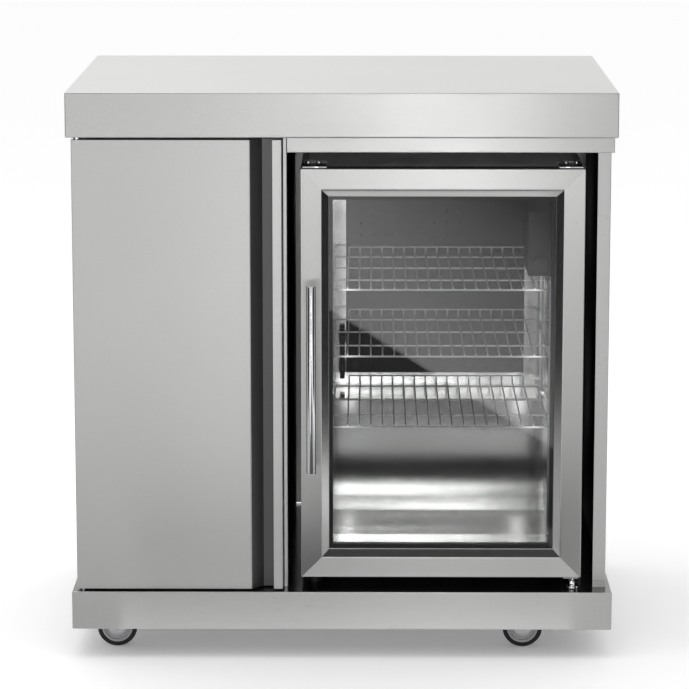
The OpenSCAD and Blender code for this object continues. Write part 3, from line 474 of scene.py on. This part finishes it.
# %% Dents and a falling floor
def add_waves(material, stretch, height, fall, drop):
    """Dents of this height, and a drop that builds up between the two depths of fall."""
    nt = material.node_tree
    shader = nt.nodes["Principled BSDF"]
    fine = shader.inputs["Normal"].links[0].from_socket
    place = nt.nodes.new("ShaderNodeTexCoord")
    scale = nt.nodes.new("ShaderNodeMapping")
    scale.inputs["Scale"].default_value = stretch
    dents = nt.nodes.new("ShaderNodeTexNoise")
    dents.inputs["Scale"].default_value = 1.0
    dents.inputs["Detail"].default_value = 1.0
    bump = nt.nodes.new("ShaderNodeBump")
    bump.inputs["Distance"].default_value = height
    nt.links.new(place.outputs["Object"], scale.inputs["Vector"])
    nt.links.new(scale.outputs["Vector"], dents.inputs["Vector"])
    nt.links.new(dents.outputs["Fac"], bump.inputs["Height"])
    nt.links.new(fine, bump.inputs["Normal"])
    split = nt.nodes.new("ShaderNodeSeparateXYZ")
    slope = nt.nodes.new("ShaderNodeMapRange")
    slope.inputs["From Min"].default_value = fall[0]
    slope.inputs["From Max"].default_value = fall[1]
    tilt = nt.nodes.new("ShaderNodeBump")
    tilt.inputs["Distance"].default_value = drop
    nt.links.new(place.outputs["Object"], split.inputs[0])
    nt.links.new(split.outputs["Y"], slope.inputs["Value"])
    nt.links.new(slope.outputs["Result"], tilt.inputs["Height"])
    nt.links.new(bump.outputs["Normal"], tilt.inputs["Normal"])
    nt.links.new(tilt.outputs["Normal"], shader.inputs["Normal"])


print("waves ready")

# %% [markdown]
# The sheets are brushed level, the door's stiles upright. Chrome and polished sheet are smooth and hardly
# marked, zinc and galvanised sheet are dull, and the shelf wires have a pale, hard coating.

# %% Metals
def grey(value):
    return (value, value, value * 0.99)


steel_level = metal("steel_level_grain", grey(0.63), grey(0.55), 0.3, "X", turned=0.25)
steel_upright = metal("steel_upright_grain", grey(0.61), grey(0.53), 0.3, "Z", turned=0.0)
steel_bevel = metal("bevel_steel", grey(0.6), grey(0.54), 0.17, "none", spread=0.05)
# The next two steels are painted shade: their dark tones stand in for the shade inside the door's pull
# channel.
channel_shade_steel = metal("channel_painted_shade", grey(0.13), grey(0.1), 0.34, "X", turned=0.25)
slope_shade_steel = metal("slope_painted_shade", grey(0.24), grey(0.2), 0.55, "none", spread=0.05)
# The tray steel below is painted shade: a dark tone for the shaded space under the doors.
tray_painted_shade = metal("tray_painted_shade", grey(0.16), grey(0.12), 0.2, "X", turned=0.25)
liner_mirror = metal("liner_mirror", grey(0.74), grey(0.7), 0.13, "none", spread=0.03, marks=0.1, bump=0.03)
liner_fall = (front_y + 0.176, front_y + 0.344)
add_waves(liner_mirror, (1.6, 8.0, 8.0), 3 * MM, liner_fall, 6 * MM)
galvanised = metal("galvanised", (0.55, 0.56, 0.58), (0.4, 0.41, 0.43), 0.42, "none", fineness=12.0)
chrome = metal("bright_chrome", (0.86, 0.86, 0.87), (0.8, 0.8, 0.81), 0.07, "none", spread=0.04, bump=0.0)
shelf_wire = metal("shelf_wire", (0.97, 0.97, 0.97), (0.93, 0.93, 0.93), 0.24, "none", spread=0.06, bump=0.0)
shelf_wire.node_tree.nodes["Principled BSDF"].inputs["Metallic"].default_value = 0.0
handle_chrome = metal("handle_chrome", (0.84, 0.84, 0.85), (0.74, 0.74, 0.75), 0.14, "Z", spread=0.08)
zinc = metal("zinc_plate", (0.6, 0.6, 0.61), (0.47, 0.47, 0.48), 0.36, "none")
aluminium = metal("bare_aluminium", (0.75, 0.75, 0.76), (0.62, 0.62, 0.63), 0.32, "X")
print("metals:", [m.name for m in bpy.data.materials if m.node_tree and "Group" in m.node_tree.nodes])

# %% [markdown]
# Plastic, paint and rubber differ in tone, gloss and the size of their pebbled skin. One function with the
# skin group gives them all, so that their dust and their skin stay of one kind.

# %% Plastics, paint and rubber
def moulded(name, base, roughness, grain_size=900.0, dust=0.1, bump=0.2):
    material, nt, shader, place = start_material(name)
    group = nt.nodes.new("ShaderNodeGroup")
    group.node_tree = skin
    nt.links.new(place, group.inputs["Vector"])
    for label, value in (
        ("Base", (*base, 1)),
        ("Grain", grain_size),
        ("Roughness", roughness),
        ("Dustiness", dust),
        ("Bump", bump),
    ):
        group.inputs[label].default_value = value
    nt.links.new(group.outputs["Color"], shader.inputs["Base Color"])
    nt.links.new(group.outputs["Roughness"], shader.inputs["Roughness"])
    nt.links.new(group.outputs["Normal"], shader.inputs["Normal"])
    return material


black_paint = moulded("black_paint", (0.012, 0.012, 0.013), 0.38, 700.0, 0.06, 0.12)
black_plastic = moulded("black_plastic", (0.012, 0.012, 0.0125), 0.48, 1100.0, 0.06, 0.25)
# The pale casing top is painted light: its tone makes up for the little light that reaches the top.
casing_top_painted_light = moulded("casing_top_painted_light", (0.8, 0.8, 0.805), 0.3, 500.0, 0.1, 0.2)
# The near-black bay finish is painted shade for the dark inside of the refrigerator bay.
bay_painted_shade = moulded("bay_painted_shade", (0.004, 0.004, 0.004), 0.7, 700.0, 0.02, 0.1)
knob_black = moulded("knob_black", (0.03, 0.03, 0.031), 0.4, 1200.0, 0.05, 0.1)
grey_plastic = moulded("grey_plastic", (0.42, 0.42, 0.43), 0.42, 900.0, 0.1, 0.15)
white_plastic = moulded("white_plastic", (0.78, 0.78, 0.76), 0.4)
seal_rubber = moulded("seal_rubber", (0.12, 0.12, 0.122), 0.62, 600.0, 0.15, 0.2)
tyre_rubber = moulded("tyre_rubber", (0.008, 0.008, 0.008), 0.7, 500.0, 0.04, 0.3)
cover_paint = moulded("cover_paint", (0.014, 0.014, 0.0145), 0.5, 800.0, 0.02, 0.12)
cover_paint.node_tree.nodes["Principled BSDF"].inputs["Specular IOR Level"].default_value = 0.25
foam = moulded("foam", (0.8, 0.72, 0.45), 0.9, 300.0, 0.1, 0.6)
print("moulded finishes made")

# %% [markdown]
# A clear pane either lets a ray straight through or mirrors it, more so at a slant. Mixing those two is
# enough for flat glass, and unlike true refraction it leaves the shelves behind it clean.

# %% Glass
clear_glass, nt, plain_shader, place = start_material("clear_glass")
nt.nodes.remove(plain_shader)
clear = nt.nodes.new("ShaderNodeBsdfTransparent")
clear.inputs["Color"].default_value = (0.955, 0.957, 0.956, 1)
gloss = nt.nodes.new("ShaderNodeBsdfPrincipled")
gloss.inputs["Base Color"].default_value = (1, 1, 1, 1)
gloss.inputs["Metallic"].default_value = 1.0
gloss.inputs["Roughness"].default_value = 0.0
slant = nt.nodes.new("ShaderNodeFresnel")
slant.inputs["IOR"].default_value = 1.5
mix = nt.nodes.new("ShaderNodeMixShader")
nt.links.new(slant.outputs[0], mix.inputs[0])
nt.links.new(clear.outputs[0], mix.inputs[1])
nt.links.new(gloss.outputs[0], mix.inputs[2])
nt.links.new(mix.outputs[0], nt.nodes["Material Output"].inputs["Surface"])
print("glass made")

# %% [markdown]
# ## Tools for the pieces
# A copied CAD part comes as loose triangles. It is merged, and its flat faces are joined, before its folds
# are rounded. A fold is a convex edge between two wide faces: the sheet's raw edges are left crisp.

# %% Helpers that copy and round
def cad_mesh(name):
    bm = bmesh.new()
    bm.from_mesh(nodes[name].data)
    bmesh.ops.remove_doubles(bm, verts=bm.verts, dist=0.002 * MM)
    bmesh.ops.dissolve_limit(bm, angle_limit=math.radians(0.5), verts=bm.verts, edges=bm.edges)
    return bm


def face_width(face):
    rim = sum(e.calc_length() for e in face.edges)
    return 2 * face.calc_area() / rim if rim else 0


def convex_edges(bm, least_angle, least_width=0.0):
    found = []
    for e in bm.edges:
        if len(e.link_faces) != 2:
            continue
        if math.degrees(e.calc_face_angle_signed(0)) < least_angle:
            continue
        if min(face_width(f) for f in e.link_faces) > least_width:
            found.append(e)
    return found


def round_over(bm, edges, radius, segments):
    bmesh.ops.bevel(
        bm,
        geom=edges,
        offset=radius,
        offset_type="OFFSET",
        segments=segments,
        profile=0.5,
        affect="EDGES",
        material=-1,
        clamp_overlap=True,
    )


print("copying and rounding ready")

# %% [markdown]
# A finished piece gets a UV map for its grain, its materials, the body that it moves with and the name of
# the CAD part that it stands for. Parts that already look right are painted and left as they are.

# %% Helpers that finish a piece
def lay_grain(bm):
    """A UV map whose U runs level on upright faces and along X on level ones."""
    layer = bm.loops.layers.uv.new("grain")
    for f in bm.faces:
        n = f.normal
        if abs(n.z) > max(abs(n.x), abs(n.y)):
            axes = (0, 1)
        elif abs(n.x) > abs(n.y):
            axes = (1, 2)
        else:
            axes = (0, 2)
        for loop in f.loops:
            loop[layer].uv = (loop.vert.co[axes[0]], loop.vert.co[axes[1]])


def finish(name, bm, node, materials, smooth=None):
    """Turn a bmesh into the piece that stands for one CAD part."""
    lay_grain(bm)
    mesh = bpy.data.meshes.new(name)
    bm.to_mesh(mesh)
    bm.free()
    for m in materials:
        mesh.materials.append(m)
    if smooth:
        mesh.polygons.foreach_set("use_smooth", [True] * len(mesh.polygons))
        mesh.set_sharp_from_angle(angle=math.radians(smooth))
    piece = bpy.data.objects.new(name, mesh)
    bpy.context.scene.collection.objects.link(piece)
    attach(piece, body_of_node[node])
    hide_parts(node)
    print(f"{name}: {len(mesh.polygons)} faces")
    return piece


def paint(material, *names):
    for name in names:
        nodes[name].data.materials.clear()
        nodes[name].data.materials.append(material)


FOLD_ANGLE, FOLD_MARGIN = 30, 1.6 * MM


def folded_sheet(node, radius, materials, segments=4, face_pick=None):
    bm = cad_mesh(node)
    round_over(bm, convex_edges(bm, FOLD_ANGLE, FOLD_MARGIN), radius, segments)
    if face_pick:
        for f in bm.faces:
            f.material_index = face_pick(f)
    return finish(node + "_sheet", bm, node, materials)


print("finishing ready")

# %% [markdown]
# ## Cabinet sheets
# The real panels are folded on a press brake, so every outer corner has a small radius that catches a
# bright line of light. Each panel is its CAD part with those folds rounded.

# %% Countertop, base and panels
def looking(axis, sign):
    """Picks the second material for the faces that look one way."""
    return lambda f: 1 if sign * f.normal[axis] > 0.9 else 0


folded_sheet("countertop", 2.2 * MM, [steel_level], 5)
# The base tray's upward faces take the dark tray steel as painted shade.
folded_sheet("base_tray", 1.8 * MM, [steel_level, tray_painted_shade], face_pick=looking(2, 1))
folded_sheet("header_rail", 1.2 * MM, [steel_level])
folded_sheet("left_side_panel", 1.6 * MM, [steel_level])
# The faces of the side panel and the divider that look into the refrigerator bay get the near-black painted
# shade.
folded_sheet("right_side_panel", 1.6 * MM, [steel_level, bay_painted_shade], face_pick=looking(0, -1))
folded_sheet("divider_panel", 1.6 * MM, [steel_level, bay_painted_shade], face_pick=looking(0, 1))
folded_sheet("storage_shelf", 1.5 * MM, [steel_level])
paint(galvanised, "top_stiffeners", "caster_beams", "machine_base")

# %% [markdown]
# ## Storage door
# The door's skin is folded back along its right edge into a channel that fingers pull on, and ends in a
# narrow lip. The slope and the channel turn away from the light, and their shade is painted in: they get
# much darker steel of their own. Picking them by their place keeps the skin one folded piece.

# %% Door skin and liner
LIP_WIDTH, CHANNEL_WIDTH, SLOPE_WIDTH = 13.8 * MM, 16 * MM, 20.2 * MM
skin_low, skin_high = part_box("storage_door_skin")
channel_end = skin_high.x - LIP_WIDTH
channel_start = channel_end - CHANNEL_WIDTH
slope_start = channel_start - SLOPE_WIDTH


def channel_face(f):
    middle = f.calc_center_median()
    if middle.y < skin_low.y + 0.6 * MM or f.normal.y > 0.4:
        return 0
    if slope_start < middle.x < channel_start:
        return 2
    return 1 if channel_start < middle.x < channel_end else 0


# The second and third steels paint the channel's shade onto its slope and channel faces.
door_steels = [steel_level, channel_shade_steel, slope_shade_steel]
folded_sheet("storage_door_skin", 1.3 * MM, door_steels, face_pick=channel_face)
folded_sheet("storage_door_liner", 0.4 * MM, [steel_level])

# %% [markdown]
# ## Rear panels
# The back is closed by two flat screwed panels, one of them slotted to let the machinery breathe. They
# are cut rather than folded, so their edges only lose their sharpness.

# %% Rear panels
folded_sheet("rear_panels", 0.3 * MM, [steel_level])

# %% [markdown]
# ## Refrigerator door frame
# Four folded lengths meet in mitres. The rails are brushed level and the stiles upright, so at each mitre
# the light changes, which is what makes the joint readable.

# %% Door frame, core and seal
LEAST_BEVEL_AREA = 1e-4


def bevel_face(f):
    return 1 if -0.95 < f.normal.y < -0.3 and f.calc_area() > LEAST_BEVEL_AREA else 0


folded_sheet("door_rails", 0.9 * MM, [steel_level, steel_bevel], face_pick=bevel_face)
folded_sheet("door_stiles", 0.9 * MM, [steel_upright, steel_bevel], face_pick=bevel_face)
paint(black_plastic, "door_inner_frame", "glass_spacer")
paint(clear_glass, "outer_glass", "inner_glass")
paint(seal_rubber, "door_gasket", "cable_grommet")

# %% [markdown]
# ## Turned and bent metal
# Handle, screws, foot, hinge plates, forks and hubs are turned or pressed, so no rim is knife-sharp. Every
# sharp rim of the CAD part gets a small bevel, and curved faces are shaded smooth up to it.

# %% Round CAD parts with softened rims
RIM_ANGLE, RIM_SEGMENTS, SMOOTH_ANGLE = 40, 2, 35


def softened(node, radius, material):
    bm = cad_mesh(node)
    round_over(bm, convex_edges(bm, RIM_ANGLE), radius, RIM_SEGMENTS)
    return finish(node + "_soft", bm, node, [material], SMOOTH_ANGLE)


softened("door_handle", 0.9 * MM, handle_chrome)
softened("panel_screws", 0.8 * MM, chrome)
softened("right_foot", 0.6 * MM, chrome)
softened("top_hinge_plates", 0.5 * MM, chrome)
paint(chrome, "door_pivots")
paint(galvanised, "lower_hinge_plate", "shelf_tracks")
paint(zinc, "caster_plates")
for corner in ("front_left", "front_right", "rear_left", "rear_right"):
    softened(corner + "_fork", 0.5 * MM, zinc)
    softened(corner + "_hub", 0.5 * MM, grey_plastic)
    paint(tyre_rubber, corner + "_tyre")

# %% [markdown]
# ## Wire shelves
# A shelf is bent and welded wire. Each long wire runs from the front rail to the rear and turns up there.
# The helper works like a bending machine: it pushes a round end along, and swings it round for a bend.

# %% The wire bender
WIRE_SIDES, BEND_STEPS = 8, 5


def bend_wire(bm, start, heading, thickness, steps):
    """A length pushes the wire straight on; (towards, radius, angle) bends it."""
    heading = Vector(heading).normalized()
    turn = heading.to_track_quat("Z", "Y").to_matrix().to_4x4()
    stand = Matrix.Translation(start) @ turn
    made = bmesh.ops.create_circle(
        bm, cap_ends=True, radius=thickness / 2, segments=WIRE_SIDES, matrix=stand
    )
    tip = list({f for v in made["verts"] for f in v.link_faces})
    place = Vector(start)
    for step in steps:
        if isinstance(step, tuple):
            towards, radius, angle = step
            towards = Vector(towards).normalized()
            axis = heading.cross(towards)
            pivot = place + towards * radius
            swung = bmesh.ops.spin(
                bm,
                geom=tip,
                cent=pivot,
                axis=axis,
                dvec=(0, 0, 0),
                angle=angle,
                steps=BEND_STEPS,
                use_duplicate=False,
            )
            spin_turn = Matrix.Rotation(angle, 4, axis)
            place = pivot + spin_turn @ (place - pivot)
            heading = spin_turn @ heading
            tip = [g for g in swung["geom_last"] if isinstance(g, bmesh.types.BMFace)]
        else:
            pushed = bmesh.ops.extrude_face_region(bm, geom=tip)
            moved = [g for g in pushed["geom"] if isinstance(g, bmesh.types.BMVert)]
            bmesh.ops.translate(bm, vec=heading * step, verts=moved)
            tip = [g for g in pushed["geom"] if isinstance(g, bmesh.types.BMFace)]
            place = place + heading * step


print("wire bender ready")

# %% [markdown]
# Each shelf has a thicker rim wire bent round on itself, four cross wires, seventeen long wires that stand
# up at the rear as a stop, and one rail that joins their tips. All are bent in the real order, and the
# welds are where they touch.

# %% Bend and weld the shelves
LONG_WIRES, WIRE_PITCH = 17, 18 * MM
WIRE, RAIL = 2.5 * MM, 3.2 * MM
LEVEL_UP, LONG_WIRE_UP = 1.6 * MM, 2.2 * MM
STOP_BEND, STOP_GAP = 6 * MM, 3.6 * MM
TOP_RAIL_BACK, TOP_RAIL_DOWN = 1.5 * MM, 1.6 * MM
CROSS_WIRE_SHARES = (0.0037, 0.2605, 0.599, 0.9205)
RIM_CORNER = 7 * MM
QUARTER = math.pi / 2


def bend_long_wires(bm, low, high, level, left_x):
    run = high.y - low.y - WIRE / 2 - STOP_BEND
    up = (Vector((0, 0, 1)), STOP_BEND, QUARTER)
    rise = high.z - level - STOP_BEND - STOP_GAP
    for k in range(LONG_WIRES):
        start = (left_x + k * WIRE_PITCH, low.y, level + LONG_WIRE_UP)
        bend_wire(bm, start, (0, 1, 0), WIRE, [run, up, rise])


def bend_rim(bm, low, high, level):
    reach = (high.y - low.y) * CROSS_WIRE_SHARES[-1]
    side = reach - 2 * RIM_CORNER
    front = high.x - low.x - 2 * RIM_CORNER - RAIL
    start = (low.x + RIM_CORNER + RAIL / 2, low.y + reach, level)
    towards = [Vector(v) for v in ((0, -1, 0), (1, 0, 0), (0, 1, 0), (-1, 0, 0))]
    bends = [(way, RIM_CORNER, QUARTER) for way in towards]
    steps = [bends[0], side, bends[1], front, bends[2], side, bends[3]]
    bend_wire(bm, start, (-1, 0, 0), RAIL, steps)


for shelf in ("upper_shelf", "middle_shelf", "lower_shelf"):
    low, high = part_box(shelf)
    bm = bmesh.new()
    level = low.z + LEVEL_UP
    left_x = (low.x + high.x) / 2 - (LONG_WIRES - 1) / 2 * WIRE_PITCH
    bend_long_wires(bm, low, high, level, left_x)
    for share in CROSS_WIRE_SHARES:
        y = low.y + (high.y - low.y) * share
        bend_wire(bm, (low.x + RAIL, y, level), (1, 0, 0), WIRE, [high.x - low.x - 2 * RAIL])
    rail_start = (left_x, high.y - TOP_RAIL_BACK, high.z - TOP_RAIL_DOWN)
    bend_wire(bm, rail_start, (1, 0, 0), WIRE, [(LONG_WIRES - 1) * WIRE_PITCH])
    bend_rim(bm, low, high, level)
    bmesh.ops.recalc_face_normals(bm, faces=bm.faces)
    finish(shelf + "_wires", bm, shelf, [shelf_wire], 50)

# %% [markdown]
# ## Refrigerator casing
# The casing is black painted sheet round the sides. Its top is made pale as painted light, for the little
# light that reaches it. Along both top edges the bare sheet is folded over as a strip. The strips need
# edges of their own, so two upright planes cut the top.

# %% Casing shell
CORNER_RADIUS, STRIP_WIDTH = 3 * MM, 11 * MM
bm = cad_mesh("fridge_casing")
round_over(bm, convex_edges(bm, 60, 20 * MM), CORNER_RADIUS, 5)
casing_low, casing_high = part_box("fridge_casing")
for x in (casing_low.x + STRIP_WIDTH, casing_high.x - STRIP_WIDTH):
    cut = bm.verts[:] + bm.edges[:] + bm.faces[:]
    bmesh.ops.bisect_plane(bm, geom=cut, dist=0.001 * MM, plane_co=(x, 0, 0), plane_no=(1, 0, 0))


def casing_face(f):
    if f.normal.z < 0.3:
        return 0
    x = f.calc_center_median().x
    return 2 if min(x - casing_low.x, casing_high.x - x) < STRIP_WIDTH else 1


for f in bm.faces:
    f.material_index = casing_face(f)
# The second finish is the casing top's painted light.
casing_finishes = [black_paint, casing_top_painted_light, galvanised]
finish("fridge_casing_shell", bm, "fridge_casing", casing_finishes, 30)

# %% [markdown]
# ## Inside the refrigerator and behind it
# The liner is polished sheet, and the cover, housing, plugs, bulb and knob in front of it are plain dark
# fittings. The machinery behind is painted, and its coils are bare. Their CAD shapes are already right.

# %% Liner, fittings and machinery
paint(liner_mirror, "fridge_liner")
paint(cover_paint, "evaporator_cover")
paint(black_plastic, "control_box", "cover_plugs", "thermostat_bulb", "evaporator_fan")
paint(knob_black, "thermostat_knob")
paint(black_plastic, "condenser_fan", "magnet_catch", "left_foot")
paint(black_paint, "rear_grille", "compressor", "fan_motors")
paint(aluminium, "evaporator_coil", "condenser_coil")
paint(foam, "fridge_insulation")
paint(white_plastic, "pivot_bushes")
print("fittings painted")
